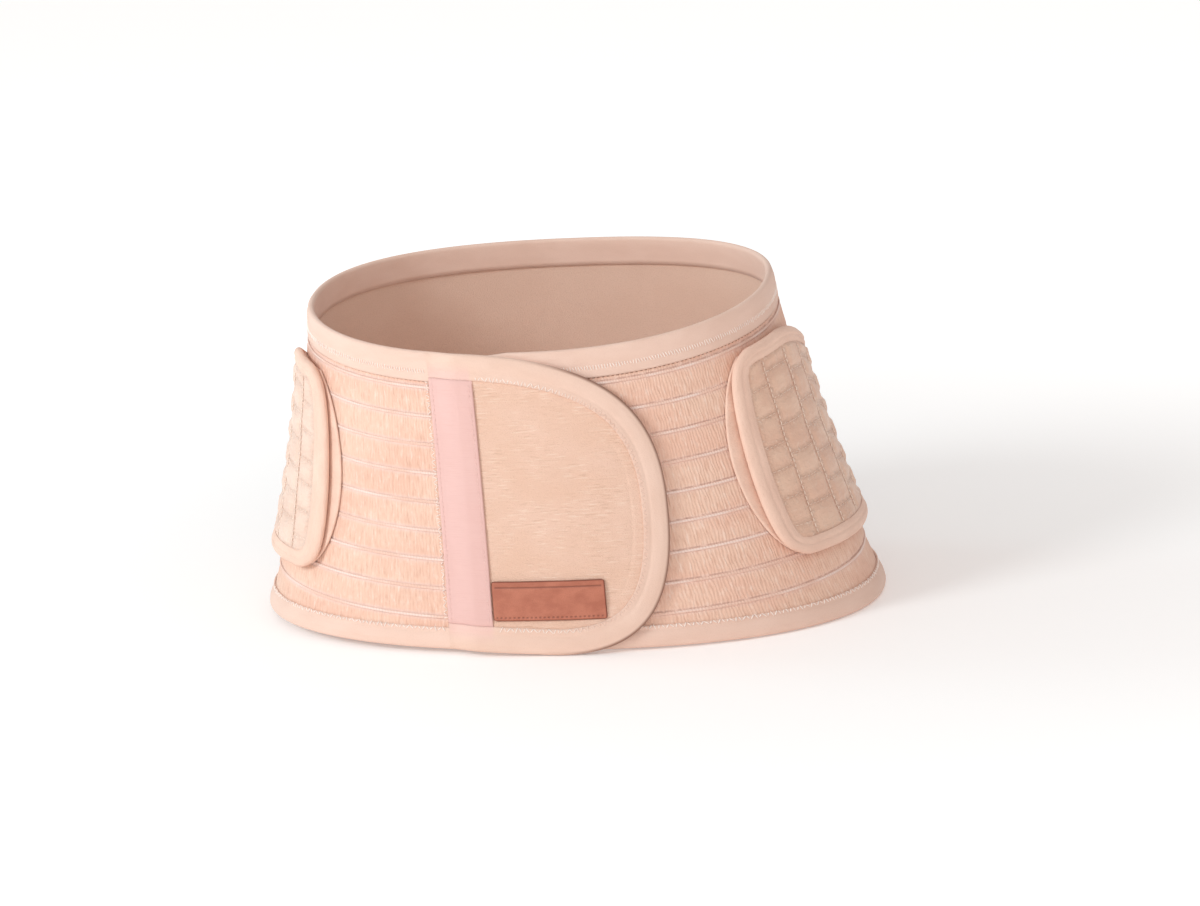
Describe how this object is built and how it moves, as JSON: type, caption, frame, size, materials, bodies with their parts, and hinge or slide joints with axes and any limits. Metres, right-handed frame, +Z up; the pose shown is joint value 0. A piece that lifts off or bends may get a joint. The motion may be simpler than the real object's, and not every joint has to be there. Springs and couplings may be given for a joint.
{
  "type": "waist trimmer belt",
  "caption": "Elastic waist trimmer belt closed round the waist, with a ribbed panel, bound edges, a round-ended front flap, a bare leather patch and quilted side straps.",
  "frame": {"origin": "on the axis of the waist about half-way up the belt's front, where the waist that holds it goes through", "axes": "+Z up along the waist, front of the belt towards -Y, +X to the right as seen from the front"},
  "size_m": [0.365, 0.2649, 0.1967],
  "materials": {
    "elastic": "ribbed knitted elastic, matte",
    "binding": "smooth binding cloth, matte",
    "fleece": "fine loop cloth, matte",
    "tape": "pale pink satin tape",
    "leather": "smooth tan leather",
    "quilt": "padded quilted cloth, slight sheen"
  },
  "bodies": {
    "root": {"elastic_panel": "elastic", "top_binding": "binding", "bottom_binding": "binding", "flap_panel": "fleece", "flap_binding": "binding", "seam_tape": "tape", "label_patch": "leather", "strap_underlay_left": "binding", "strap_pad_left": "quilt", "strap_binding_left": "binding", "strap_underlay_right": "binding", "strap_pad_right": "quilt", "strap_binding_right": "binding"}
  },
  "joints": []
}
